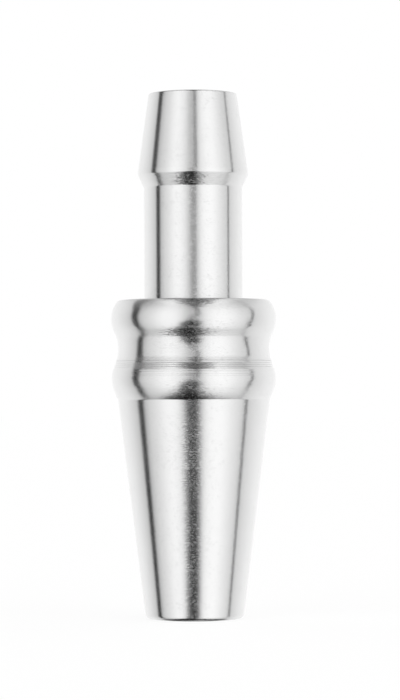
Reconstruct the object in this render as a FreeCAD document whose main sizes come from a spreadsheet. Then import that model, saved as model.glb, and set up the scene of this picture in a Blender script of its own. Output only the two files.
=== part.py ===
# Magnetic hose connector, turned from stainless steel, in two halves.
# The hose half has a barb for a soft 12 mm hose. The port half has a tapered plug for a rubber
# grommet. Inside the collar a ring magnet sits in the mating face of each half, and a spigot with
# two seal rings keeps the halves in line and tight while the hose half turns or is pulled off.
# Frame: millimetres, +Z along the axis towards the hose, origin at the centre of the taper's tip.

import FreeCAD, Part
import math
import os
import Sketcher

# Driving dimensions in millimetres. Every row has its name, its value and what it measures.
DIMENSIONS = [
    ("taper_length", 27.3, "tapered plug, tip to the foot of the collar"),
    ("taper_tip_dia", 12.3, "outer diameter at the tip of the plug"),
    ("taper_top_dia", 19.0, "outer diameter at the top of the plug"),
    ("taper_tip_round", 0.25, "rounding of the plug's tip"),
    ("port_bead_height", 4.8, "collar of the port half, foot to mating face"),
    ("port_bead_bulge", 0.61, "rise of its bead above its own chord"),
    ("rim_land", 0.4, "straight rim between that bead and the mating face"),
    ("magnet_dia", 16.4, "outer diameter of both ring magnets"),
    ("magnet_thickness", 3.0, "axial thickness of both ring magnets"),
    ("magnet_bevel", 0.2, "bevel on the magnets' edges"),
    ("magnet_fit", 0.05, "radial room for glue round a magnet"),
    ("magnet_recess", 0.1, "depth of a magnet below its mating face"),
    ("magnet_bore_gap", 0.35, "radial room between spigot and magnets"),
    ("rim_wall", 1.49, "steel outside the magnet at the mating face"),
    ("rim_bevel", 0.1, "bevel on the outer edge of both mating faces"),
    ("flare_height", 0.5, "flared rim above the hose half's mating face"),
    ("flare_depth", 0.2, "radius lost over that flare"),
    ("waist_height", 3.3, "mating face to the fold above the hollow waist"),
    ("waist_dip", 0.12, "depth of the waist below its own chord"),
    ("fold_rise", 0.05, "radius gained from mating face to fold"),
    ("hose_bead_height", 4.3, "bead of the hose half, fold to shoulder"),
    ("hose_bead_bulge", 0.69, "rise of that bead above its own chord"),
    ("shoulder_drop", 0.3, "radius lost from mating face to shoulder edge"),
    ("shoulder_round", 0.3, "rounding of the shoulder's edge"),
    ("neck_dia", 12.3, "outer diameter of the hose neck"),
    ("neck_length", 14.0, "straight neck, shoulder to barb"),
    ("barb_rise", 0.73, "height of the barb's ridge above the neck"),
    ("barb_back_length", 1.6, "steep back of the barb"),
    ("barb_land_length", 0.5, "straight land on the barb's ridge"),
    ("barb_cone_length", 9.7, "long front cone of the barb"),
    ("barb_tip_dia", 11.06, "outer diameter at the barb's tip"),
    ("barb_tip_round", 0.2, "rounding of the barb's tip"),
    ("bore_dia", 8.0, "passage through both halves"),
    ("bore_bevel", 0.3, "bevel on the passage's outer mouths"),
    ("spigot_wall", 1.7, "wall of the spigot round the passage"),
    ("spigot_play", 0.08, "radial running clearance of spigot in socket"),
    ("spigot_nose", 0.9, "spigot below its lower seal groove"),
    ("spigot_bevel", 0.35, "lead-in bevel on the spigot's end"),
    ("socket_bevel", 0.45, "lead-in bevel at the socket's mouth"),
    ("socket_end_gap", 0.15, "axial room between spigot and socket floor"),
    ("seal_lead", 0.9, "socket mouth to the upper seal groove"),
    ("seal_land", 0.6, "steel between the two seal grooves"),
    ("groove_depth", 0.8, "depth of a seal groove"),
    ("groove_width", 1.4, "axial width of a seal groove"),
    ("seal_gap", 0.03, "radial room left round a squeezed seal ring"),
    ("seal_side_gap", 0.12, "axial room on each side of a seal ring"),
    ("seal_flat", 0.033, "straight left between two roundings of a seal ring"),
]

# Radii and heights that several pieces share, as expressions on the sheet.
BORE_R = "(Sizes.bore_dia / 2)"
SPIGOT_R = f"({BORE_R} + Sizes.spigot_wall)"
SOCKET_R = f"({SPIGOT_R} + Sizes.spigot_play)"
GROOVE_R = f"({SPIGOT_R} - Sizes.groove_depth)"
MAGNET_R = "(Sizes.magnet_dia / 2)"
MAGNET_BORE_R = f"({SPIGOT_R} + Sizes.magnet_bore_gap)"
POCKET_R = f"({MAGNET_R} + Sizes.magnet_fit)"
RIM_R = f"({POCKET_R} + Sizes.rim_wall)"
POCKET_DEPTH = "(Sizes.magnet_thickness + Sizes.magnet_recess)"
MATING_Z = "(Sizes.taper_length + Sizes.port_bead_height)"
SEAL_PITCH = "(Sizes.groove_width + Sizes.seal_land)"
UPPER_GROOVE_DEPTH = f"({POCKET_DEPTH} + Sizes.seal_lead)"
SEAL_NAMES = ("upper_seal_ring", "lower_seal_ring")
LAST_GROOVE_DEPTH = f"({UPPER_GROOVE_DEPTH} + {len(SEAL_NAMES) - 1} * {SEAL_PITCH})"
SPIGOT_LENGTH = f"({LAST_GROOVE_DEPTH} + Sizes.groove_width + Sizes.spigot_nose)"
SOCKET_DEPTH = f"({SPIGOT_LENGTH} + Sizes.socket_end_gap)"

FULL_TURN = 360
ON_AXIS = "0"
# How far an edge may lie from the place that names it, in millimetres.
EDGE_TOLERANCE = 1e-4


def write_sheet(doc):
    """Put the driving dimensions into a spreadsheet, one alias a row."""
    sheet = doc.addObject("Spreadsheet::Sheet", "Sizes")
    for row, (name, value, meaning) in enumerate(DIMENSIONS, start=1):
        sheet.set(f"A{row}", name)
        sheet.set(f"B{row}", str(value))
        sheet.setAlias(f"B{row}", name)
        sheet.set(f"C{row}", meaning)
    doc.recompute()
    return sheet


def new_body(doc, name, height="0"):
    """Start a sub-part whose own zero lies at the given height on the axis."""
    body = doc.addObject("PartDesign::Body", name)
    body.Label = name
    body.setExpression("Placement.Base.z", height)
    return body


def origin_feature(body, role):
    """Find one of the body's own origin planes or axes."""
    return next(item for item in body.Origin.OriginFeatures if item.Role == role)


def new_sketch(body, name, plane="XZ_Plane"):
    """Start a sketch on one of the body's own origin planes."""
    sketch = body.newObject("Sketcher::SketchObject", name)
    sketch.AttachmentSupport = [(origin_feature(body, plane), "")]
    sketch.MapMode = "FlatFace"
    return sketch


def drive(sketch, kind, geometry, point, name, expression, value):
    """Add one named constraint and bind it to the sheet."""
    if value == 0:
        axis = -2 if kind == "DistanceX" else -1
        sketch.addConstraint(Sketcher.Constraint("PointOnObject", geometry, point, axis))
        return
    index = sketch.addConstraint(Sketcher.Constraint(kind, -1, 1, geometry, point, value))
    sketch.renameConstraint(index, name)
    sketch.setExpression(f"Constraints.{name}", expression)


def arc_between(start, end, radius, outward):
    """Arc of the given radius from start up to end, with its crown outward or inward."""
    chord = end.sub(start)
    middle = (start + end) / 2
    towards_axis = FreeCAD.Vector(-chord.y, chord.x, 0).normalize()
    offset = math.sqrt(radius ** 2 - (chord.Length / 2) ** 2)
    centre = middle + towards_axis * (offset if outward else -offset)
    first, last = (start, end) if outward else (end, start)
    angles = [math.atan2(point.y - centre.y, point.x - centre.x) for point in (first, last)]
    circle = Part.Circle(centre, FreeCAD.Vector(0, 0, 1), radius)
    return Part.ArcOfCircle(circle, angles[0], angles[1])


def draw_section(sheet, sketch, corners):
    """Draw a closed half section from corners of radius, height and, for an arc, its bulge.

    A corner's third entry makes the side that leaves it an arc with that rise over its chord:
    "+name" is a bead that bulges outward, "-name" is a hollow.
    """
    places = [[float(sheet.evalExpression(text)) for text in corner[:2]] for corner in corners]
    points = [FreeCAD.Vector(radius, height, 0) for radius, height in places]
    count = len(corners)
    first_points = []
    last_points = []
    for index, corner in enumerate(corners):
        start = points[index]
        following = (index + 1) % count
        end = points[following]
        if len(corner) == 2:
            side = sketch.addGeometry(Part.LineSegment(start, end))
            first_points.append((side, 1))
            last_points.append((side, 2))
            continue
        outward = corner[2].startswith("+")
        bulge = f"Sizes.{corner[2][1:]}"
        other = corners[following]
        chord_squared = f"(({corner[0]} - {other[0]})^2 + ({corner[1]} - {other[1]})^2)"
        radius = f"{chord_squared} / (8 * {bulge}) + {bulge} / 2"
        radius_value = float(sheet.evalExpression(radius))
        side = sketch.addGeometry(arc_between(start, end, radius_value, outward))
        first_points.append((side, 1 if outward else 2))
        last_points.append((side, 2 if outward else 1))
        constraint = sketch.addConstraint(Sketcher.Constraint("Radius", side, radius_value))
        sketch.renameConstraint(constraint, f"arc_radius_{index}")
        sketch.setExpression(f"Constraints.arc_radius_{index}", radius)
    for index, corner in enumerate(corners):
        following = (index + 1) % count
        sketch.addConstraint(
            Sketcher.Constraint("Coincident", *last_points[index], *first_points[following])
        )
        side, end = first_points[index]
        drive(sketch, "DistanceX", side, end, f"radius_{index}", corner[0], points[index].x)
        drive(sketch, "DistanceY", side, end, f"height_{index}", corner[1], points[index].y)


def turn(sheet, body, name, corners, feature_type="PartDesign::Revolution"):
    """Revolve a section about the body's axis, as added or, with a groove, as cut material."""
    sketch = new_sketch(body, f"{name}_section")
    draw_section(sheet, sketch, corners)
    feature = body.newObject(feature_type, name)
    feature.Profile = sketch
    feature.ReferenceAxis = (sketch, ["V_Axis"])
    feature.Angle = FULL_TURN
    sketch.Visibility = False
    body.Document.recompute()
    return feature


def cut_ring(sheet, body, name, corners):
    """Cut a turned groove or recess."""
    return turn(sheet, body, name, corners, "PartDesign::Groove")


def bore_through(body):
    """Cut the passage through the whole body, along +Z."""
    sketch = new_sketch(body, "passage_circle", "XY_Plane")
    radius = body.Document.Sizes.bore_dia / 2
    circle = sketch.addGeometry(Part.Circle(FreeCAD.Vector(), FreeCAD.Vector(0, 0, 1), radius))
    sketch.addConstraint(Sketcher.Constraint("Coincident", circle, 3, -1, 1))
    index = sketch.addConstraint(Sketcher.Constraint("Diameter", circle, 2 * radius))
    sketch.renameConstraint(index, "bore_dia")
    sketch.setExpression("Constraints.bore_dia", "Sizes.bore_dia")
    passage = body.newObject("PartDesign::Pocket", "passage")
    passage.Profile = sketch
    passage.Type = "ThroughAll"
    passage.SideType = "Symmetric"
    sketch.Visibility = False
    body.Document.recompute()
    return passage


def ring_edges(sheet, feature, rings):
    """Name the feature's circular edges at the given radii and heights."""
    names = []
    for radius, height in rings:
        wanted = (float(sheet.evalExpression(radius)), float(sheet.evalExpression(height)))
        found = [
            f"Edge{number}"
            for number, edge in enumerate(feature.Shape.Edges, start=1)
            if isinstance(edge.Curve, Part.Circle)
            and math.isclose(edge.Curve.Radius, wanted[0], abs_tol=EDGE_TOLERANCE)
            and math.isclose(edge.Curve.Center.z, wanted[1], abs_tol=EDGE_TOLERANCE)
        ]
        if not found:
            raise RuntimeError(f"{feature.Name}: no edge at radius and height {wanted}")
        names += found
    return names


def bevel(sheet, body, name, size, rings):
    """Chamfer the ring edges at these radii and heights."""
    base = body.Tip
    feature = body.newObject("PartDesign::Chamfer", name)
    feature.Base = (base, ring_edges(sheet, base, rings))
    feature.setExpression("Size", size)
    body.Document.recompute()
    return feature


def soften(sheet, body, name, radius, rings):
    """Round the ring edges at these radii and heights."""
    base = body.Tip
    feature = body.newObject("PartDesign::Fillet", name)
    feature.Base = (base, ring_edges(sheet, base, rings))
    feature.setExpression("Radius", radius)
    body.Document.recompute()
    return feature


def make_port_taper(doc, sheet):
    """Port half: tapered plug, bead, and the socket and magnet seat in its mating face."""
    body = new_body(doc, "port_taper")
    tip_r = "(Sizes.taper_tip_dia / 2)"
    top_r = "(Sizes.taper_top_dia / 2)"
    seat_z = f"({MATING_Z} - {POCKET_DEPTH})"
    floor_z = f"({MATING_Z} - {SOCKET_DEPTH})"
    turn(sheet, body, "plug_and_bead", [
        (ON_AXIS, "0"),
        (tip_r, "0"),
        (top_r, "Sizes.taper_length", "+port_bead_bulge"),
        (RIM_R, f"({MATING_Z} - Sizes.rim_land)"),
        (RIM_R, MATING_Z),
        (ON_AXIS, MATING_Z),
    ])
    cut_ring(sheet, body, "magnet_seat", [
        (ON_AXIS, seat_z),
        (POCKET_R, seat_z),
        (POCKET_R, MATING_Z),
        (ON_AXIS, MATING_Z),
    ])
    cut_ring(sheet, body, "socket", [
        (ON_AXIS, floor_z),
        (SOCKET_R, floor_z),
        (SOCKET_R, seat_z),
        (ON_AXIS, seat_z),
    ])
    bore_through(body)
    bevel(sheet, body, "socket_lead_in", "Sizes.socket_bevel", [(SOCKET_R, seat_z)])
    bevel(sheet, body, "mating_bevel", "Sizes.rim_bevel", [(RIM_R, MATING_Z)])
    bevel(sheet, body, "passage_mouth", "Sizes.bore_bevel", [(BORE_R, "0")])
    soften(sheet, body, "tip_round", "Sizes.taper_tip_round", [(tip_r, "0")])
    return body


def make_hose_tail(doc, sheet):
    """Hose half: waist, bead, neck and barb above its mating face, and the spigot below it."""
    body = new_body(doc, "hose_tail", MATING_Z)
    neck_r = "(Sizes.neck_dia / 2)"
    ridge_r = f"({neck_r} + Sizes.barb_rise)"
    tip_r = "(Sizes.barb_tip_dia / 2)"
    shoulder_r = f"({RIM_R} - Sizes.shoulder_drop)"
    fold_z = "Sizes.waist_height"
    shoulder_z = f"({fold_z} + Sizes.hose_bead_height)"
    neck_end_z = f"({shoulder_z} + Sizes.neck_length)"
    land_z = f"({neck_end_z} + Sizes.barb_back_length)"
    cone_z = f"({land_z} + Sizes.barb_land_length)"
    tip_z = f"({cone_z} + Sizes.barb_cone_length)"
    nose_z = f"(-{SPIGOT_LENGTH})"
    groove_top_z = f"(-{UPPER_GROOVE_DEPTH})"
    turn(sheet, body, "outside_turning", [
        (ON_AXIS, nose_z),
        (SPIGOT_R, nose_z),
        (SPIGOT_R, "0"),
        (RIM_R, "0"),
        (f"({RIM_R} - Sizes.flare_depth)", "Sizes.flare_height", "-waist_dip"),
        (f"({RIM_R} + Sizes.fold_rise)", fold_z, "+hose_bead_bulge"),
        (shoulder_r, shoulder_z),
        (neck_r, shoulder_z),
        (neck_r, neck_end_z),
        (ridge_r, land_z),
        (ridge_r, cone_z),
        (tip_r, tip_z),
        (ON_AXIS, tip_z),
    ])
    cut_ring(sheet, body, "magnet_seat", [
        (SPIGOT_R, "0"),
        (POCKET_R, "0"),
        (POCKET_R, POCKET_DEPTH),
        (SPIGOT_R, POCKET_DEPTH),
    ])
    groove = cut_ring(sheet, body, "seal_groove", [
        (GROOVE_R, f"({groove_top_z} - Sizes.groove_width)"),
        (SOCKET_R, f"({groove_top_z} - Sizes.groove_width)"),
        (SOCKET_R, groove_top_z),
        (GROOVE_R, groove_top_z),
    ])
    grooves = body.newObject("PartDesign::LinearPattern", "seal_grooves")
    grooves.Originals = [groove]
    grooves.Direction = (origin_feature(body, "Z_Axis"), [""])
    grooves.Reversed = True
    grooves.Mode = "Spacing"
    grooves.setExpression("Offset", SEAL_PITCH)
    grooves.Occurrences = len(SEAL_NAMES)
    body.Tip = grooves
    doc.recompute()
    bore_through(body)
    bevel(sheet, body, "spigot_lead_in", "Sizes.spigot_bevel", [(SPIGOT_R, nose_z)])
    bevel(sheet, body, "mating_bevel", "Sizes.rim_bevel", [(RIM_R, "0")])
    bevel(sheet, body, "passage_mouth", "Sizes.bore_bevel", [(BORE_R, tip_z)])
    soften(sheet, body, "shoulder_round", "Sizes.shoulder_round", [(shoulder_r, shoulder_z)])
    soften(sheet, body, "tip_round", "Sizes.barb_tip_round", [(tip_r, tip_z)])
    return body


def make_ring_magnet(doc, sheet, name, height):
    """Flat ring magnet that lies in the seat of one half, with its underside at this height."""
    body = new_body(doc, name, height)
    corners = [
        (MAGNET_BORE_R, "0"),
        (MAGNET_R, "0"),
        (MAGNET_R, "Sizes.magnet_thickness"),
        (MAGNET_BORE_R, "Sizes.magnet_thickness"),
    ]
    turn(sheet, body, "magnet_ring", corners)
    bevel(sheet, body, "edge_bevels", "Sizes.magnet_bevel", corners)
    return body


def make_seal_ring(doc, sheet, name, height):
    """Rubber ring squeezed flat between groove and socket, with its middle at this height."""
    body = new_body(doc, name, height)
    inner_r = f"({GROOVE_R} + Sizes.seal_gap)"
    outer_r = f"({SOCKET_R} - Sizes.seal_gap)"
    half_width = "(Sizes.groove_width / 2 - Sizes.seal_side_gap)"
    corners = [
        (inner_r, f"(-{half_width})"),
        (outer_r, f"(-{half_width})"),
        (outer_r, half_width),
        (inner_r, half_width),
    ]
    turn(sheet, body, "seal_section", corners)
    rounding = f"(({outer_r} - {inner_r} - Sizes.seal_flat) / 2)"
    soften(sheet, body, "seal_rounds", rounding, corners)
    return body


def check_model(doc, bodies):
    """Stop before anything is written if a feature failed or a sub-part isn't one sound solid."""
    for item in doc.Objects:
        if "Invalid" in item.State or "Error" in item.State:
            raise RuntimeError(f"{item.Name} failed: {item.State}")
    for body in bodies:
        shape = body.Shape
        if shape.isNull() or not shape.isValid() or len(shape.Solids) != 1:
            raise RuntimeError(f"{body.Label} is not one valid solid")


def main():
    doc = FreeCAD.newDocument("magnetic_hose_connector")
    sheet = write_sheet(doc)
    hose_magnet_z = f"({MATING_Z} + Sizes.magnet_recess)"
    port_magnet_z = f"({MATING_Z} - {POCKET_DEPTH})"
    upper_seal_z = f"({MATING_Z} - {UPPER_GROOVE_DEPTH} - Sizes.groove_width / 2)"
    bodies = [
        make_port_taper(doc, sheet),
        make_hose_tail(doc, sheet),
        make_ring_magnet(doc, sheet, "port_magnet", port_magnet_z),
        make_ring_magnet(doc, sheet, "hose_magnet", hose_magnet_z),
    ]
    for place, name in enumerate(SEAL_NAMES):
        bodies.append(make_seal_ring(doc, sheet, name, f"({upper_seal_z} - {place} * {SEAL_PITCH})"))
    doc.recompute()
    check_model(doc, bodies)
    os.makedirs("parts", exist_ok=True)
    for body in bodies:
        body.Shape.exportStep(f"parts/{body.Label}.step")


main()
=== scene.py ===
"""Looks of a magnetic hose connector, built round its packed frame.

Two turned steel halves meet in the middle of the collar. The port half has a tapered plug, the
hose half a barb, a neck and a beaded collar. Ring magnets and two seal rings lie inside.
Lengths are in metres, +Z runs along the axis towards the hose, and zero is the plug's tip.
"""
import math

import bpy
from mathutils import Matrix, Vector


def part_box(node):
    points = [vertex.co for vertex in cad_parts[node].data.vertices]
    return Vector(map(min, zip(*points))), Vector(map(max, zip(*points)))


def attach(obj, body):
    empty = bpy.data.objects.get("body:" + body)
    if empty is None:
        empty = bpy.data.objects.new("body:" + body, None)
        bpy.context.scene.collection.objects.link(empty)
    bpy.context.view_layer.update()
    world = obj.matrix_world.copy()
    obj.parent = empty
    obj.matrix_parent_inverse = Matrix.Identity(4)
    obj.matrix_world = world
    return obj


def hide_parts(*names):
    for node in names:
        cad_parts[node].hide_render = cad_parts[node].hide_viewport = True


bl_info = {
    "name": "Magnetic Hose Connector",
    "version": (1, 0, 0),
    "blender": (4, 5, 0),
    "location": "View3D > Sidebar > Hose Connector",
    "description": "Dresses the two turned halves, the magnets and the seals, and sets the studio",
    "category": "Object",
}

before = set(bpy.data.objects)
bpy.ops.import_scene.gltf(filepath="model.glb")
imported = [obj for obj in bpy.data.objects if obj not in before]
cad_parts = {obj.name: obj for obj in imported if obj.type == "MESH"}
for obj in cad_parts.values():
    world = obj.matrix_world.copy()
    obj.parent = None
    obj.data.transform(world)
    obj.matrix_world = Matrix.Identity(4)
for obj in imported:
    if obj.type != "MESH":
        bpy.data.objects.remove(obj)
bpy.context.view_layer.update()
PORT_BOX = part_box("port_taper")
HOSE_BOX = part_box("hose_tail")
MM = 0.001


def length(name, description, default):
    """A size that the sidebar shows as a length."""
    return bpy.props.FloatProperty(
        name=name, description=description, default=default, unit="LENGTH", precision=5)


def share(name, description, default, top=1.0):
    """A plain number that the sidebar shows from nothing to its top."""
    return bpy.props.FloatProperty(
        name=name, description=description, default=default, min=0.0, max=top, precision=4)


def turn_angle(name, description, degrees):
    """An angle, given here in degrees."""
    return bpy.props.FloatProperty(
        name=name, description=description, default=math.radians(degrees),
        subtype="ANGLE", unit="ROTATION")


def finish_colour(name, description, default):
    """A plain metal or rubber colour."""
    return bpy.props.FloatVectorProperty(
        name=name, description=description, default=default, subtype="COLOR", size=3,
        min=0.0, max=1.0)


# ---------------------------------------------------------------- sizes and finishes

class HOSECONNECTOR_PG_shared_sizes(bpy.types.PropertyGroup):
    """Sizes that both halves share"""
    bore_radius: length("Bore radius", "Passage through both halves", 4.0 * MM)
    bore_bevel: length("Bore bevel", "Bevel on the passage's outer mouths", 0.3 * MM)
    rim_radius: length("Rim radius", "Outer edge of both mating faces", 9.74 * MM)
    seat_radius: length("Magnet seat radius", "Seat of a ring magnet", 8.25 * MM)
    seat_depth: length("Magnet seat depth", "Depth of a seat below its mating face", 3.1 * MM)
    parting_air: length("Parting air", "Air left between the two mating faces", 0.01 * MM)
    edge_ease: length("Edge easing", "Easing left on every other turned edge", 0.04 * MM)
    round_steps: bpy.props.IntProperty(
        name="Steps round", description="Facets of one full turn", default=256, min=24, max=512)


class HOSECONNECTOR_PG_port_sizes(bpy.types.PropertyGroup):
    """Sizes of the port half"""
    tip_radius: length("Tip radius", "Small end of the tapered plug", 6.13 * MM)
    tip_ease: length("Tip easing", "Rounding of the plug's tip", 0.6 * MM)
    taper_length: length("Plug length", "Tip to the foot of the collar", 27.3 * MM)
    top_radius: length("Top radius", "Large end of the tapered plug", 9.5 * MM)
    foot_ease: length("Foot easing", "Easing of the crease under the bead", 0.08 * MM)
    foot_height: length("Foot height", "Height where the foot's cone meets the bead", 28.55 * MM)
    foot_radius: length("Foot radius", "Radius where the foot's cone meets the bead", 10.03 * MM)
    foot_bulge: length("Foot bulge", "Rise of the foot's cone over its own chord", 0.03 * MM)
    bead_bulge: length("Bead bulge", "Rise of the bead over its own chord", 0.193 * MM)
    bead_top: length("Bead top", "Height where the bead turns in to the ridges", 30.98 * MM)
    bead_radius: length("Bead radius", "Radius where the bead turns in", 10.11 * MM)
    bead_ease: length("Bead easing", "Easing where the foot meets the bead", 0.2 * MM)
    turn_ease: length("Turn easing", "Easing where the bead turns in", 0.05 * MM)
    ridge_count: bpy.props.IntProperty(
        name="Ridges", description="Number of fine ridges at the rim", default=4, min=1, max=4)
    ridge_height: length("Ridge height", "Height of each fine ridge at the rim", 0.25 * MM)
    ridge_lean: turn_angle("Ridge lean", "How far the ridges face upwards", 29.0)
    ridge_top_lean: share("Top ridge lean", "Lean of the top ridge against the others", 0.7)
    ridge_rise: length("Ridge rise", "How far the top ridge stands out past the rim", 0.06 * MM)
    ridge_step: length("Ridge step", "How much further out each lower ridge stands", 0.085 * MM)
    ridge_ease: length("Ridge easing", "Easing of the ridges' edges", 0.015 * MM)
    mating_height: length("Mating height", "Height of the mating face", PORT_BOX[1].z)
    socket_radius: length("Socket radius", "Bore that takes the spigot", 5.78 * MM)
    socket_floor: length("Socket floor", "Height of the socket's floor", 23.65 * MM)
    socket_bevel: length("Socket bevel", "Lead-in at the socket's mouth", 0.45 * MM)
    score_depth: length("Score depth", "Depth of the fine tool lines on the bead", 0.016 * MM)
    score_width: length("Score width", "Half width of those lines", 0.045 * MM)


class HOSECONNECTOR_PG_hose_sizes(bpy.types.PropertyGroup):
    """Sizes of the hose half"""
    spigot_radius: length("Spigot radius", "Outside of the spigot", 5.7 * MM)
    spigot_end: length("Spigot end", "Height of the spigot's end face", HOSE_BOX[0].z)
    spigot_bevel: length("Spigot bevel", "Lead-in on the spigot's end", 0.35 * MM)
    groove_radius: length("Groove radius", "Bottom of the seal grooves", 4.9 * MM)
    groove_width: length("Groove width", "Width of a seal groove", 1.4 * MM)
    lower_groove: length("Lower groove", "Height of the lower groove's underside", 24.7 * MM)
    upper_groove: length("Upper groove", "Height of the upper groove's underside", 26.7 * MM)
    flare_top: length("Flare top", "Height where the rim's flare meets the waist", 32.6 * MM)
    flare_radius: length("Flare radius", "Radius where the flare meets the waist", 9.54 * MM)
    flare_ease: length("Flare easing", "Easing between flare and waist", 0.22 * MM)
    rim_ease: length("Rim easing", "Easing of the rim", 0.03 * MM)
    waist_height: length("Waist height", "Height of the waist's narrowest place", 33.4 * MM)
    waist_radius: length("Waist radius", "Radius of the waist's narrowest place", 9.46 * MM)
    waist_dip: length("Waist dip", "Depth of the waist below its own chord", 0.1 * MM)
    fold_height: length("Fold height", "Fold between waist and bead", 35.4 * MM)
    fold_radius: length("Fold radius", "Radius at the fold", 9.79 * MM)
    fold_ease: length("Fold easing", "Easing of the fold", 0.45 * MM)
    bead_bulge: length("Bead bulge", "Rise of the bead over its own chord", 0.69 * MM)
    shoulder_height: length("Shoulder height", "Height of the flat shoulder", 39.7 * MM)
    shoulder_radius: length("Shoulder radius", "Outer edge of the shoulder", 9.44 * MM)
    shoulder_ease: length("Shoulder easing", "Rounding of the shoulder's edge", 0.22 * MM)
    neck_radius: length("Neck radius", "Outside of the hose neck", 6.15 * MM)
    neck_top: length("Neck top", "Height where the barb begins", 53.7 * MM)
    ridge_radius: length("Ridge radius", "Outside of the barb's ridge", 6.88 * MM)
    ridge_bottom: length("Ridge bottom", "Lower edge of the ridge's land", 55.3 * MM)
    ridge_top: length("Ridge top", "Upper edge of the ridge's land", 55.8 * MM)
    tip_radius: length("Barb tip radius", "Small end of the barb's cone", 5.53 * MM)
    tip_height: length("Barb tip height", "Height of the barb's end face", HOSE_BOX[1].z)
    tip_ease: length("Barb tip easing", "Rounding of the barb's tip", 0.2 * MM)


class HOSECONNECTOR_PG_finishes(bpy.types.PropertyGroup):
    """Colours and surface finishes"""
    steel: finish_colour("Steel", "Polished turned steel", (0.70, 0.70, 0.70))
    # Darker than the outside steel: painted shade in the bores, socket and magnet seats, over a
    # rougher drilled finish.
    drilled_and_shaded: finish_colour("Drilled steel", "Steel inside the bores", (0.58, 0.58, 0.58))
    plating: finish_colour("Magnet plating", "Satin nickel on the magnets", (0.66, 0.65, 0.62))
    rubber: finish_colour("Seal rubber", "Black rubber of the seals", (0.02, 0.02, 0.02))
    ring_pitch: length("Ring pitch", "Spacing of the fine turned rings", 0.13 * MM)
    port_rings: length("Port rings", "Lift of a leaning turned ring, port half", 0.018 * MM)
    hose_rings: length("Hose rings", "Lift of a leaning turned ring, hose half", 0.022 * MM)
    grain: share("Grain", "How much the rings' short breaks lean against whole rings", 2.1, 5.0)
    grain_length: length("Grain length", "Length of those breaks round the part", 0.4 * MM)
    steel_roughness: share("Steel roughness", "Middle roughness of the outside", 0.205)
    steel_streak: share("Steel streak", "How far gloss is drawn out across the rings", 0.78)


class HOSECONNECTOR_PG_studio(bpy.types.PropertyGroup):
    """Camera and light"""
    distance: length("Distance", "From the axis to the camera", 354.1 * MM)
    height: length("Height", "Camera above the floor", 28.34 * MM)
    lens: bpy.props.FloatProperty(
        name="Lens", description="Focal length on a 36 mm wide sensor", default=145.7,
        subtype="DISTANCE_CAMERA")
    rise: turn_angle("Rise", "How far the camera looks up", 0.829)
    swing: turn_angle("Swing", "How far the camera looks to the right", 0.127)
    roll: turn_angle("Roll", "How far the camera is rolled", -0.255)
    white: share("White", "What the camera sees behind the part", 1.0, 2.0)
    shadow: share("Shadow", "How much of the floor is lit and shadowed", 0.25)


# ---------------------------------------------------------------- sections

OUTSIDE, INSIDE = 0, 1      # finishes of a side, in the order of the piece's materials
CURVE_STEP = 0.09 * MM      # spacing of the samples along an arc
EASE_STEPS = 7              # straight pieces of an eased corner
SUPPORT = 0.6               # from an eased corner to the next sample, in easings
SCORE_HEIGHTS = (30.84 * MM, 30.48 * MM, 30.26 * MM)
SCORE_SAMPLES = 8           # samples to either side of a tool line
SCORE_SPACING = 3           # samples to its half width


class StraightSide:
    """One straight side of a section."""

    def __init__(self, start, end):
        self.start, self.end = start, end
        self.length = (end - start).length

    def at(self, distance):
        return self.start.lerp(self.end, distance / self.length)

    def heading(self, distance):
        return (self.end - self.start).normalized()

    def stops(self, first, last, marks):
        return [first, last]


class CurvedSide:
    """One arc of a section: outwards of its chord by bulge, or inwards where that is negative."""

    def __init__(self, start, end, bulge):
        chord = end - start
        outward = Vector((chord.y, -chord.x)).normalized()
        self.radius = chord.length_squared / (8 * abs(bulge)) + abs(bulge) / 2
        self.side = math.copysign(1.0, bulge)
        self.centre = (start + end) / 2 - outward * self.side * (self.radius - abs(bulge))
        self.first = math.atan2(*reversed(start - self.centre))
        half = math.asin(chord.length / 2 / self.radius)
        self.length = 2 * half * self.radius

    def angle(self, distance):
        return self.first + self.side * distance / self.radius

    def at(self, distance):
        angle = self.angle(distance)
        return self.centre + self.radius * Vector((math.cos(angle), math.sin(angle)))

    def heading(self, distance):
        angle = self.angle(distance)
        return self.side * Vector((-math.sin(angle), math.cos(angle)))

    def stops(self, first, last, marks):
        count = max(2, round((last - first) / CURVE_STEP))
        found = {first + (last - first) * k / count for k in range(count + 1)}
        for height, width in marks:
            near = min(found, key=lambda d: abs(self.at(d).y - height))
            for step in range(-SCORE_SAMPLES, SCORE_SAMPLES + 1):
                distance = near + step * width / SCORE_SPACING
                if first < distance < last:
                    found.add(distance)
        return sorted(found)


def crossing(point, heading, other, other_heading):
    """Where two tangents cross."""
    gap = other - point
    bend = heading.x * other_heading.y - heading.y * other_heading.x
    return point + heading * ((gap.x * other_heading.y - gap.y * other_heading.x) / bend)


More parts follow.
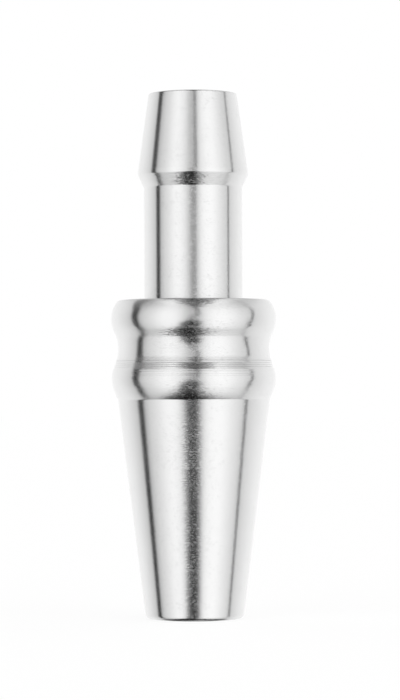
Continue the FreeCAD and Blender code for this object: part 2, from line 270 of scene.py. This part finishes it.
def section(corners, marks=()):
    """Sample a closed section whose corners are (radius, height, easing, bulge, finish).

    Bulge and finish belong to the side that leaves the corner. The result is a list of
    (place, heading, distance along the section, finish).
    """
    places = [Vector(corner[:2]) for corner in corners]
    count = len(corners)
    sides = []
    for index, corner in enumerate(corners):
        start, end = places[index], places[(index + 1) % count]
        sides.append(CurvedSide(start, end, corner[3]) if corner[3] else StraightSide(start, end))
    samples = []
    for index, corner in enumerate(corners):
        side, following = sides[index], sides[(index + 1) % count]
        ease, next_ease = corner[2], corners[(index + 1) % count][2]
        first, last = ease, side.length - next_ease
        stops = side.stops(first, last, marks)
        # A long straight side gets a sample close to each of its eased corners.
        if not corner[3] and last - first > 3 * SUPPORT * (ease + next_ease):
            stops = [first, first + SUPPORT * ease, last - SUPPORT * next_ease, last]
        samples += [(side.at(d), side.heading(d), corner[4]) for d in stops]
        start, end = side.at(last), following.at(next_ease)
        knee = crossing(start, side.heading(last), end, following.heading(next_ease))
        for step in range(1, EASE_STEPS):
            t = step / EASE_STEPS
            place = start * (1 - t) ** 2 + knee * 2 * t * (1 - t) + end * t ** 2
            heading = ((knee - start) * (1 - t) + (end - knee) * t).normalized()
            samples.append((place, heading, corner[4]))
    travelled, result, before = 0.0, [], samples[0][0]
    for place, heading, surface in samples:
        travelled += (place - before).length
        before = place
        result.append((place, heading, travelled, surface))
    return result


def scored(samples, marks, depth):
    """Press fine tool lines into a section at the marked heights."""
    result = []
    for place, heading, travelled, surface in samples:
        dip = slope = 0.0
        if surface == OUTSIDE:
            for height, width in marks:
                off = (place.y - height) / width
                part = depth * math.exp(-off * off)
                dip -= part
                slope += 2 * off / width * part * heading.y
        outward = Vector((heading.y, -heading.x))
        result.append((place + outward * dip, (heading + outward * slope).normalized(),
                       travelled, surface))
    return result


def lathe(name, samples, steps, materials):
    """Turn a section about the axis, with normals taken from the section itself."""
    rounds = [(math.cos(math.tau * k / steps), math.sin(math.tau * k / steps))
              for k in range(steps)]
    points, normals, lengths = [], [], []
    for place, heading, travelled, surface in samples:
        for c, s in rounds:
            points.append((place.x * c, place.x * s, place.y))
            normals.append((heading.y * c, heading.y * s, -heading.x))
        lengths += [travelled] * steps
    faces, surfaces = [], []
    for row in range(len(samples)):
        low, high = row * steps, (row + 1) % len(samples) * steps
        for k in range(steps):
            turn = (k + 1) % steps
            faces.append((low + k, low + turn, high + turn, high + k))
        surfaces += [samples[row][3]] * steps
    mesh = bpy.data.meshes.new(name)
    mesh.from_pydata(points, [], faces)
    for material in materials:
        mesh.materials.append(material)
    mesh.polygons.foreach_set("material_index", surfaces)
    mesh.polygons.foreach_set("use_smooth", [True] * len(faces))
    along = mesh.attributes.new("cut_length", "FLOAT", "POINT")
    along.data.foreach_set("value", lengths)
    mesh.normals_split_custom_set_from_vertices(normals)
    mesh.update()
    piece = bpy.data.objects.new(name, mesh)
    bpy.context.scene.collection.objects.link(piece)
    return piece


# ---------------------------------------------------------------- nodes

class Board:
    """Adds and wires the nodes of one tree."""

    def __init__(self, tree):
        self.tree = tree

    def feed(self, socket, value):
        """Wire a socket to another, or set its own value."""
        if isinstance(value, bpy.types.NodeSocket):
            self.tree.links.new(value, socket)
        else:
            socket.default_value = value

    def add(self, kind, inputs=None, **settings):
        """Place a node with its settings, and feed its inputs."""
        node = self.tree.nodes.new(kind)
        for name, value in settings.items():
            setattr(node, name, value)
        for name, value in (inputs or {}).items():
            self.feed(node.inputs[name], value)
        return node

    def math(self, operation, *values, clamp=False):
        node = self.add("ShaderNodeMath", operation=operation, use_clamp=clamp)
        for socket, value in zip(node.inputs, values):
            self.feed(socket, value)
        return node.outputs[0]

    def between(self, value, low, high):
        """Spread a value from 0 to 1 over another range."""
        node = self.add("ShaderNodeMapRange", {"Value": value, "To Min": low, "To Max": high})
        return node.outputs[0]

    def curve(self, value, places):
        """Read a value off a smooth curve through (value, result) places."""
        node = self.add("ShaderNodeFloatCurve", {"Value": value})
        node.mapping.use_clip = False
        curve = node.mapping.curves[0]
        while len(curve.points) < len(places):
            curve.points.new(0.5, 0.5)
        for point, place in zip(curve.points, places):
            point.location = place
            point.handle_type = "AUTO_CLAMPED"
        node.mapping.update()
        return node.outputs[0]

    def noise(self, vector, scale, detail, roughness=0.5):
        node = self.add("ShaderNodeTexNoise", {
            "Vector": vector, "Scale": scale, "Detail": detail, "Roughness": roughness})
        return node.outputs["Fac"]


def group_tree(name, inputs, outputs):
    """Start a shader group with these named numbers in and out."""
    tree = bpy.data.node_groups.new(name, "ShaderNodeTree")
    for label, value in inputs:
        socket = tree.interface.new_socket(
            name=label, in_out="INPUT", socket_type="NodeSocketFloat")
        socket.default_value = value
    for label in outputs:
        tree.interface.new_socket(
            name=label, in_out="OUTPUT", socket_type="NodeSocketFloat")
    board = Board(tree)
    return board, board.add("NodeGroupInput").outputs, board.add("NodeGroupOutput").inputs


RING_SEED, SHORT_SEED = 7.3, 3.1            # keep the noise of rings and of breaks apart
PATCH_ROUND, PATCH_ALONG = 160.0, 420.0     # patches of stronger rings, per metre
PATCH_STRENGTH = ((0.3, 0.35), (0.5, 0.7), (0.7, 1.0))
SPECK_FINENESS, SPECK_FLOOR, SPECK_GAIN = 9.0, 0.58, 4.0


def turned_rings_group():
    """Fine turned rings: height, where each ring leans its own way, and how dull it is."""
    board, given, result = group_tree(
        "Turned rings", (("Along", 0.0), ("Pitch", 0.0002), ("Breaks", 40.0), ("Grain", 1.8),
                         ("Grain length", 0.0006)), ("Height", "Dull"))
    own = board.add("ShaderNodeSeparateXYZ", {
        "Vector": board.add("ShaderNodeTexCoord").outputs["Object"]}).outputs
    count = board.math("DIVIDE", given["Along"], given["Pitch"])
    ring = board.math("MULTIPLY", board.math("FLOOR", count), RING_SEED)
    within = board.math("SUBTRACT", board.math("FRACT", count), 0.5)

    def per_ring(breaks, seed):
        """A number around zero that changes from ring to ring, and slowly round each ring."""
        place = board.add("ShaderNodeCombineXYZ", {
            "X": board.math("MULTIPLY", own["X"], breaks),
            "Y": board.math("MULTIPLY", own["Y"], breaks),
            "Z": board.math("ADD", ring, seed)}).outputs[0]
        return board.math("SUBTRACT", board.noise(place, 1.0, 1.0), 0.5)

    long = per_ring(given["Breaks"], 0.0)
    short = per_ring(board.math("DIVIDE", 1.0, given["Grain length"]), SHORT_SEED)
    lean = board.math("ADD", long, board.math("MULTIPLY", short, given["Grain"]))
    patch = board.add("ShaderNodeCombineXYZ", {
        "X": board.math("MULTIPLY", own["X"], PATCH_ROUND),
        "Y": board.math("MULTIPLY", own["Y"], PATCH_ROUND),
        "Z": board.math("MULTIPLY", given["Along"], PATCH_ALONG)}).outputs[0]
    mask = board.curve(board.noise(patch, 1.0, 2.0), PATCH_STRENGTH)
    board.feed(result["Height"], board.math(
        "MULTIPLY", board.math("MULTIPLY", within, lean), mask))
    board.feed(result["Dull"], board.math("ADD", short, 0.5, clamp=True))


def haze_group():
    """Soft clouds of handling haze, from 0 to 1."""
    board, given, result = group_tree(
        "Haze", (("Size", 0.004), ("Contrast", 1.0)), ("Haze", "Specks"))
    own = board.add("ShaderNodeTexCoord").outputs["Object"]
    scale = board.math("DIVIDE", 1.0, given["Size"])
    cloud = board.noise(own, scale, 3.0, 0.6)
    spread = board.math("MULTIPLY", board.math("SUBTRACT", cloud, 0.5), given["Contrast"])
    board.feed(result["Haze"], board.math("ADD", spread, 0.5, clamp=True))
    fine = board.noise(own, board.math("MULTIPLY", scale, SPECK_FINENESS), 2.0)
    board.feed(result["Specks"], board.math(
        "MULTIPLY", board.math("SUBTRACT", fine, SPECK_FLOOR, clamp=True), SPECK_GAIN,
        clamp=True))


def light_gap_group():
    """A dark gap between two soft boxes: the share of light left at an azimuth."""
    board, given, result = group_tree(
        "Light gap", (("Azimuth", 0.0), ("Centre", 0.0), ("Width", 10.0), ("Depth", 0.5),
                      ("Edge", 2.0)),
        ("Light",))
    off = board.math("DIVIDE", board.math("SUBTRACT", given["Azimuth"], given["Centre"]),
                     given["Width"])
    steep = board.math("POWER", board.math("ABSOLUTE", off), given["Edge"])
    bell = board.math("EXPONENT", board.math("MULTIPLY", steep, -1.0))
    board.feed(result["Light"], board.math(
        "SUBTRACT", 1.0, board.math("MULTIPLY", bell, given["Depth"])))


def shared_group(board, name, inputs):
    """Place a shared group in a material or the world with its own values."""
    node = board.add("ShaderNodeGroup", node_tree=bpy.data.node_groups[name])
    for label, value in inputs.items():
        board.feed(node.inputs[label], value)
    return node.outputs


def tinted(board, colour, factor, low, high):
    """A plain colour made a little darker or lighter over the surface."""
    # Sockets 6, 7 and 2 are the colours of a mix node.
    node = board.add("ShaderNodeMix", {
        "Factor": 1.0, 6: (*colour, 1.0), 7: board.between(factor, low, high)},
        data_type="RGBA", blend_type="MULTIPLY")
    return node.outputs[2]


def new_material(name):
    """Start a material with one shader, and return its board and that shader."""
    material = bpy.data.materials.new(name)
    material.use_nodes = True
    material.node_tree.nodes.clear()
    board = Board(material.node_tree)
    output = board.add("ShaderNodeOutputMaterial")
    shader = board.add("ShaderNodeBsdfPrincipled")
    board.feed(output.inputs["Surface"], shader.outputs[0])
    return board, shader


def turned_material(name, colour, measured, look):
    """Metal or rubber with rings round its axis.

    A measured piece stores the length along its section. Elsewhere height plus radius stands
    for it. look holds the finish's own values.
    """
    board, shader = new_material(name)
    if measured:
        run = board.add("ShaderNodeAttribute", attribute_name="cut_length").outputs["Fac"]
    else:
        own = board.add("ShaderNodeSeparateXYZ", {
            "Vector": board.add("ShaderNodeTexCoord").outputs["Object"]}).outputs
        radius = board.math("SQRT", board.math(
            "ADD", board.math("MULTIPLY", own["X"], own["X"]),
            board.math("MULTIPLY", own["Y"], own["Y"])))
        run = board.math("ADD", own["Z"], radius)
    rings = shared_group(board, "Turned rings", {
        "Along": run, "Pitch": look["pitch"], "Breaks": look["breaks"],
        "Grain": look["grain"], "Grain length": look["grain_length"]})
    haze = shared_group(board, "Haze", {"Size": look["haze_size"], "Contrast": look["haze"]})
    low, high = look["roughness"]
    rough = board.between(haze["Haze"], low, high)
    rough = board.math("ADD", rough, board.math("MULTIPLY", rings["Dull"], look["ring_rough"]))
    rough = board.math("ADD", rough, board.math("MULTIPLY", haze["Specks"], look["speck_rough"]))
    board.feed(shader.inputs["Roughness"], rough)
    board.feed(shader.inputs["Base Color"], tinted(
        board, colour, board.math("MULTIPLY", rings["Dull"], haze["Haze"]), *look["shade"]))
    shader.inputs["Metallic"].default_value = look["metallic"]
    if look["streak"]:
        # A quarter turn draws the gloss out across the rings.
        shader.inputs["Anisotropic"].default_value = look["streak"]
        shader.inputs["Anisotropic Rotation"].default_value = 0.25
        tangent = board.add("ShaderNodeTangent", direction_type="RADIAL", axis="Z")
        board.feed(shader.inputs["Tangent"], tangent.outputs[0])
    bump = board.add("ShaderNodeBump", {
        "Strength": 1.0, "Distance": look["height"], "Height": rings["Height"]})
    board.feed(shader.inputs["Normal"], bump.outputs[0])


# ---------------------------------------------------------------- the pieces

class HOSECONNECTOR_OT_finishes(bpy.types.Operator):
    """Make the shared shader groups and the finishes of all pieces"""
    bl_idname = "hose_connector.finishes"
    bl_label = "Make Finishes"

    def execute(self, context):
        look = context.scene.hose_connector_finishes
        turned_rings_group()
        haze_group()
        middle = look.steel_roughness
        grain = {"grain": look.grain, "grain_length": look.grain_length}
        polished = {
            **grain, "pitch": look.ring_pitch, "breaks": 45.0, "haze_size": 3.5 * MM,
            "haze": 1.3, "roughness": (middle * 0.64, middle * 0.84), "ring_rough": middle * 0.3,
            "speck_rough": 0.02, "shade": (0.97, 1.05), "metallic": 1.0,
            "streak": look.steel_streak}
        turned_material("turned_steel_port", look.steel, True, {
            **polished, "height": look.port_rings})
        turned_material("turned_steel_hose", look.steel, True, {
            **polished, "height": look.hose_rings})
        # Inside surfaces: the coarser rings and roughness are the drilled finish, and the darker
        # colour is painted shade in the hollows.
        turned_material("drilled_steel_inside", look.drilled_and_shaded, True, {
            **grain, "pitch": look.ring_pitch * 2.0, "breaks": 30.0, "height": look.hose_rings,
            "haze_size": 3.0 * MM, "haze": 1.4, "roughness": (0.28, 0.4), "ring_rough": 0.05,
            "speck_rough": 0.06, "shade": (0.85, 1.05), "metallic": 1.0, "streak": 0.6})
        turned_material("satin_nickel_plating", look.plating, False, {
            **grain, "pitch": 0.12 * MM, "breaks": 90.0, "height": look.hose_rings * 0.25,
            "haze_size": 2.5 * MM, "haze": 1.5, "roughness": (0.24, 0.34), "ring_rough": 0.02,
            "speck_rough": 0.08, "shade": (0.9, 1.04), "metallic": 1.0, "streak": 0.0})
        turned_material("black_seal_rubber", look.rubber, False, {
            "grain": look.grain, "grain_length": look.grain_length / 2, "pitch": 0.3 * MM,
            "breaks": 900.0, "height": look.hose_rings, "haze_size": 2.0 * MM, "haze": 1.5,
            "roughness": (0.46, 0.62), "ring_rough": 0.04, "speck_rough": 0.1,
            "shade": (0.8, 1.25), "metallic": 0.0, "streak": 0.0})
        return {"FINISHED"}


def dress(piece, node, body):
    """Hand a turned piece to the frame in place of its solid."""
    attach(piece, body)
    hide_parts(node)


class HOSECONNECTOR_OT_port_half(bpy.types.Operator):
    """Turn the port half: tapered plug, bead, magnet seat and socket"""
    bl_idname = "hose_connector.port_half"
    bl_label = "Turn Port Half"

    def execute(self, context):
        both, own = context.scene.hose_connector_shared, context.scene.hose_connector_port
        top, seat = own.mating_height, own.mating_height - both.seat_depth
        ease = both.edge_ease
        corners = [
            (both.bore_radius + both.bore_bevel, 0.0, ease, 0, OUTSIDE),
            (own.tip_radius, 0.0, own.tip_ease, 0, OUTSIDE),
            (own.top_radius, own.taper_length, own.foot_ease, own.foot_bulge, OUTSIDE),
            (own.foot_radius, own.foot_height, own.bead_ease, own.bead_bulge, OUTSIDE),
            (own.bead_radius, own.bead_top, own.turn_ease, 0, OUTSIDE),
        ]
        # Fine ridges end the bead: each leans inwards up to the underside of the next.
        inset = own.ridge_height * math.tan(own.ridge_lean)
        for above in reversed(range(own.ridge_count)):
            root = top - above * own.ridge_height
            radius = both.rim_radius + own.ridge_rise + above * own.ridge_step
            lean = 1.0 if above else own.ridge_top_lean
            corners += [
                (radius, root - own.ridge_height, own.ridge_ease, 0, OUTSIDE),
                (radius - inset * lean, root, own.ridge_ease, 0, OUTSIDE),
            ]
        corners += [
            (both.seat_radius, top, ease, 0, INSIDE),
            (both.seat_radius, seat, ease, 0, INSIDE),
            (own.socket_radius + own.socket_bevel, seat, ease, 0, INSIDE),
            (own.socket_radius, seat - own.socket_bevel, ease, 0, INSIDE),
            (own.socket_radius, own.socket_floor, ease, 0, INSIDE),
            (both.bore_radius, own.socket_floor, ease, 0, INSIDE),
            (both.bore_radius, both.bore_bevel, ease, 0, INSIDE),
        ]
        marks = [(height, own.score_width) for height in SCORE_HEIGHTS]
        samples = scored(section(corners, marks), marks, own.score_depth)
        # The inside surfaces take the darker steel, whose colour is painted shade.
        piece = lathe("port_taper_turned", samples, both.round_steps, [
            bpy.data.materials["turned_steel_port"], bpy.data.materials["drilled_steel_inside"]])
        dress(piece, "port_taper", "port_side")
        return {"FINISHED"}


class HOSECONNECTOR_OT_hose_half(bpy.types.Operator):
    """Turn the hose half: spigot, magnet seat, waist, bead, shoulder, neck and barb"""
    bl_idname = "hose_connector.hose_half"
    bl_label = "Turn Hose Half"

    def execute(self, context):
        both, own = context.scene.hose_connector_shared, context.scene.hose_connector_hose
        mating_height = context.scene.hose_connector_port.mating_height
        face, seat = mating_height + both.parting_air, mating_height + both.seat_depth
        ease = both.edge_ease
        corners = [
            (both.bore_radius, own.spigot_end, ease, 0, OUTSIDE),
            (own.spigot_radius - own.spigot_bevel, own.spigot_end, ease, 0, OUTSIDE),
            (own.spigot_radius, own.spigot_end + own.spigot_bevel, ease, 0, OUTSIDE),
        ]
        for underside in (own.lower_groove, own.upper_groove):
            top = underside + own.groove_width
            corners += [
                (own.spigot_radius, underside, ease, 0, OUTSIDE),
                (own.groove_radius, underside, ease, 0, OUTSIDE),
                (own.groove_radius, top, ease, 0, OUTSIDE),
                (own.spigot_radius, top, ease, 0, OUTSIDE),
            ]
        corners += [
            (own.spigot_radius, seat, ease, 0, INSIDE),
            (both.seat_radius, seat, ease, 0, INSIDE),
            (both.seat_radius, face, ease, 0, OUTSIDE),
            (both.rim_radius, face, own.rim_ease, 0, OUTSIDE),
            (own.flare_radius, own.flare_top, own.flare_ease, 0, OUTSIDE),
            (own.waist_radius, own.waist_height, own.flare_ease, -own.waist_dip, OUTSIDE),
            (own.fold_radius, own.fold_height, own.fold_ease, own.bead_bulge, OUTSIDE),
            (own.shoulder_radius, own.shoulder_height, own.shoulder_ease, 0, OUTSIDE),
            (own.neck_radius, own.shoulder_height, ease, 0, OUTSIDE),
            (own.neck_radius, own.neck_top, ease, 0, OUTSIDE),
            (own.ridge_radius, own.ridge_bottom, ease, 0, OUTSIDE),
            (own.ridge_radius, own.ridge_top, ease, 0, OUTSIDE),
            (own.tip_radius, own.tip_height, own.tip_ease, 0, OUTSIDE),
            (both.bore_radius + both.bore_bevel, own.tip_height, ease, 0, OUTSIDE),
            (both.bore_radius, own.tip_height - both.bore_bevel, ease, 0, INSIDE),
        ]
        # The inside surfaces take the darker steel, whose colour is painted shade.
        piece = lathe("hose_tail_turned", section(corners), both.round_steps, [
            bpy.data.materials["turned_steel_hose"], bpy.data.materials["drilled_steel_inside"]])
        dress(piece, "hose_tail", "hose_side")
        return {"FINISHED"}


def refinish(names, material_name):
    """Give solids of the frame a better finish."""
    for name in names:
        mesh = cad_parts[name].data
        mesh.materials.clear()
        mesh.materials.append(bpy.data.materials[material_name])


class HOSECONNECTOR_OT_magnets(bpy.types.Operator):
    """Plate the two ring magnets"""
    bl_idname = "hose_connector.magnets"
    bl_label = "Plate Magnets"

    def execute(self, context):
        refinish(("port_magnet", "hose_magnet"), "satin_nickel_plating")
        return {"FINISHED"}


class HOSECONNECTOR_OT_seals(bpy.types.Operator):
    """Give the two seal rings their rubber"""
    bl_idname = "hose_connector.seals"
    bl_label = "Finish Seals"

    def execute(self, context):
        refinish(("upper_seal_ring", "lower_seal_ring"), "black_seal_rubber")
        return {"FINISHED"}


# ---------------------------------------------------------------- the studio

# All angles in degrees. Azimuth 0 lies behind the camera and grows towards the right.
BOX_LIGHT = (
    (-180, 1.1), (-140, 1.2), (-120, 1.09), (-104, 0.89), (-90, 0.67), (-80, 0.76), (-72, 0.93),
    (-64, 1.02), (-56, 1.14), (-48, 1.26), (-38, 1.34), (-22, 1.21), (0, 0.69), (22, 1.29),
    (42, 1.39), (48, 1.36), (56, 1.27), (64, 1.16), (72, 1.06), (80, 0.96), (95, 0.95),
    (104, 1.02), (120, 1.14), (140, 1.22), (180, 1.14))
# By elevation: the boxes' level, then place, width and depth of the dark gaps between them.
LEVEL = (
    (-90, 0.7), (-78, 0.5), (-65, 0.1), (-56, 0.15), (-50, 0.32), (-46, 0.78), (-38, 0.88),
    (-33, 0.99), (-16, 1.0), (0, 1.01), (20, 0.99), (32, 0.94), (42, 0.85), (50, 0.87),
    (57, 1.14), (64, 1.08), (72, 0.25), (80, 0.4), (90, 0.7))
CENTRE_PLACE = (
    (-90, -35), (-55, -26), (-45, -15), (-20, -3.2), (-8, -2), (4, 0.3), (15, 6.3), (40, 4.5),
    (62, 6), (90, 0))
CENTRE_WIDTH = (
    (-90, 76), (-62, 80), (-52, 66), (-45, 42.5), (-32, 15), (-22, 18), (-12, 9.4), (-5, 6.7),
    (2, 7.8), (10, 4.6), (20, 4.1), (35, 4), (48, 13), (62, 47), (90, 30))
CENTRE_DEPTH = (
    (-90, 0.98), (-62, 1), (-45, 1), (-32, 0.8), (-22, 1), (-12, 1), (-5, 0.18), (2, 0.37),
    (10, 0.58), (20, 0.56), (35, 0.52), (48, 0.95), (62, 0.8), (90, 0.9))
LEFT_PLACE = ((-90, -90), (-30, -89.2), (20, -92), (45, -108.7), (90, -107))
LEFT_WIDTH = ((-90, 7), (-30, 6.1), (20, 7.8), (45, 14), (90, 9))
LEFT_DEPTH = (
    (-90, 0.5), (-50, 0.06), (-30, 1), (0, 0.93), (25, 0.84), (45, 0.58), (90, 0.18))
RIGHT_PLACE = ((-90, 88), (-15, 87), (0, 89.7), (16, 92.9), (90, 94.8))
RIGHT_WIDTH = ((-90, 2.6), (-20, 3.8), (0, 2.4), (30, 3.7), (90, 2.6))
RIGHT_DEPTH = (
    (-90, 0.16), (-30, 0.39), (-12, 1), (0, 1), (12, 0.95), (25, 0.4), (90, 0.24))
BACK_PLACE, BACK_WIDTH = 180.0, 64.0
BACK_DEPTH = ((-90, 0.02), (20, 0.11), (40, 0.4), (60, 0.62), (90, 0.72))
CENTRE_EDGE, LEFT_EDGE, SOFT_EDGE = 5.0, 5.2, 2.0

SENSOR_WIDTH = 36.0             # mm
NEAR_CLIP, FAR_CLIP = 0.01, 20.0
FLOOR_REACH = 2.5               # m from the part
FLOOR_GREY, FLOOR_GLOW = 0.86, 1.12


def studio_world(studio):
    """Soft boxes either side of the camera, dark gaps between them, and a pale backdrop."""
    world = bpy.data.worlds.new("pale_studio")
    bpy.context.scene.world = world
    world.use_nodes = True
    world.node_tree.nodes.clear()
    board = Board(world.node_tree)
    light_gap_group()
    way = board.add("ShaderNodeSeparateXYZ", {
        "Vector": board.add("ShaderNodeTexCoord").outputs["Generated"]}).outputs
    azimuth = board.math("DEGREES", board.math(
        "ARCTAN2", way["X"], board.math("MULTIPLY", way["Y"], -1.0)))
    height = board.math("DEGREES", board.math("ARCSINE", way["Z"]))
    light = board.math("MULTIPLY", board.curve(azimuth, BOX_LIGHT), board.curve(height, LEVEL))
    around = board.math("ABSOLUTE", azimuth)
    gaps = (
        (azimuth, board.curve(height, CENTRE_PLACE), board.curve(height, CENTRE_WIDTH),
         board.curve(height, CENTRE_DEPTH), CENTRE_EDGE),
        (azimuth, board.curve(height, LEFT_PLACE), board.curve(height, LEFT_WIDTH),
         board.curve(height, LEFT_DEPTH), LEFT_EDGE),
        (azimuth, board.curve(height, RIGHT_PLACE), board.curve(height, RIGHT_WIDTH),
         board.curve(height, RIGHT_DEPTH), SOFT_EDGE),
        (around, BACK_PLACE, BACK_WIDTH, board.curve(height, BACK_DEPTH), SOFT_EDGE),
    )
    for at, centre, width, depth, edge in gaps:
        left = shared_group(board, "Light gap", {
            "Azimuth": at, "Centre": centre, "Width": width, "Depth": depth,
            "Edge": edge})["Light"]
        light = board.math("MULTIPLY", light, left)
    seen = board.add("ShaderNodeLightPath").outputs["Is Camera Ray"]
    strength = board.add("ShaderNodeMix", {"Factor": seen, "A": light, "B": studio.white})
    background = board.add("ShaderNodeBackground", {
        "Color": (1.0, 1.0, 1.0, 1.0), "Strength": strength.outputs[0]})
    output = board.add("ShaderNodeOutputWorld")
    board.feed(output.inputs["Surface"], background.outputs[0])


def pale_floor(studio):
    """A wide floor that looks white and keeps a trace of the part's shadow."""
    mesh = bpy.data.meshes.new("floor")
    mesh.from_pydata(
        [(x * FLOOR_REACH, y * FLOOR_REACH, 0) for x, y in ((-1, -1), (1, -1), (1, 1), (-1, 1))],
        [], [(0, 1, 2, 3)])
    material = bpy.data.materials.new("pale_floor")
    material.use_nodes = True
    material.node_tree.nodes.clear()
    board = Board(material.node_tree)
    lit = board.add("ShaderNodeBsdfDiffuse", {
        "Color": (FLOOR_GREY, FLOOR_GREY, FLOOR_GREY, 1.0)})
    plain = board.add("ShaderNodeEmission", {
        "Color": (1.0, 1.0, 1.0, 1.0), "Strength": studio.white * FLOOR_GLOW})
    mixed = board.add("ShaderNodeMixShader", {
        "Fac": studio.shadow, 1: plain.outputs[0], 2: lit.outputs[0]})
    seen = board.add("ShaderNodeLightPath").outputs["Is Camera Ray"]
    final = board.add("ShaderNodeMixShader", {
        "Fac": seen, 1: lit.outputs[0], 2: mixed.outputs[0]})
    board.feed(board.add("ShaderNodeOutputMaterial").inputs["Surface"], final.outputs[0])
    mesh.materials.append(material)
    floor = bpy.data.objects.new("floor", mesh)
    bpy.context.scene.collection.objects.link(floor)
    # The metal mirrors the studio's own pale lower half instead of this sheet.
    floor.visible_glossy = floor.visible_diffuse = floor.visible_shadow = False


class HOSECONNECTOR_OT_studio(bpy.types.Operator):
    """Set the camera, the pale floor and the soft studio light"""
    bl_idname = "hose_connector.studio"
    bl_label = "Set Studio"

    def execute(self, context):
        studio = context.scene.hose_connector_studio
        data = bpy.data.cameras.new("camera")
        data.lens, data.sensor_width = studio.lens, SENSOR_WIDTH
        data.clip_start, data.clip_end = NEAR_CLIP, FAR_CLIP
        camera = bpy.data.objects.new("camera", data)
        context.scene.collection.objects.link(camera)
        camera.matrix_world = (
            Matrix.Translation((0.0, -studio.distance, studio.height))
            @ Matrix.Rotation(-studio.swing, 4, "Z")
            @ Matrix.Rotation(math.pi / 2 + studio.rise, 4, "X")
            @ Matrix.Rotation(studio.roll, 4, "Z"))
        context.scene.camera = camera
        context.scene.view_settings.view_transform = "Standard"
        studio_world(studio)
        pale_floor(studio)
        return {"FINISHED"}


class HOSECONNECTOR_PT_sidebar(bpy.types.Panel):
    """Sizes, finishes and steps of the connector"""
    bl_idname = "HOSECONNECTOR_PT_sidebar"
    bl_label = "Hose Connector"
    bl_space_type = "VIEW_3D"
    bl_region_type = "UI"
    bl_category = "Hose Connector"

    def draw(self, context):
        for kind in OPERATORS:
            self.layout.operator(kind.bl_idname)
        for attribute, group in GROUPS.items():
            box = self.layout.box()
            box.label(text=group.__doc__)
            for name in group.__annotations__:
                box.prop(getattr(context.scene, attribute), name)


GROUPS = {
    "hose_connector_shared": HOSECONNECTOR_PG_shared_sizes,
    "hose_connector_port": HOSECONNECTOR_PG_port_sizes,
    "hose_connector_hose": HOSECONNECTOR_PG_hose_sizes,
    "hose_connector_finishes": HOSECONNECTOR_PG_finishes,
    "hose_connector_studio": HOSECONNECTOR_PG_studio,
}
OPERATORS = (
    HOSECONNECTOR_OT_finishes, HOSECONNECTOR_OT_port_half, HOSECONNECTOR_OT_hose_half,
    HOSECONNECTOR_OT_magnets, HOSECONNECTOR_OT_seals, HOSECONNECTOR_OT_studio)


def register():
    for kind in (*GROUPS.values(), *OPERATORS, HOSECONNECTOR_PT_sidebar):
        bpy.utils.register_class(kind)
    for attribute, group in GROUPS.items():
        setattr(bpy.types.Scene, attribute, bpy.props.PointerProperty(type=group))


def unregister():
    for attribute in GROUPS:
        delattr(bpy.types.Scene, attribute)
    for kind in (HOSECONNECTOR_PT_sidebar, *reversed(OPERATORS), *GROUPS.values()):
        bpy.utils.unregister_class(kind)


def main():
    register()
    bpy.ops.hose_connector.finishes()
    bpy.ops.hose_connector.port_half()
    bpy.ops.hose_connector.hose_half()
    bpy.ops.hose_connector.magnets()
    bpy.ops.hose_connector.seals()
    bpy.ops.hose_connector.studio()


if __name__ == "__main__":
    main()
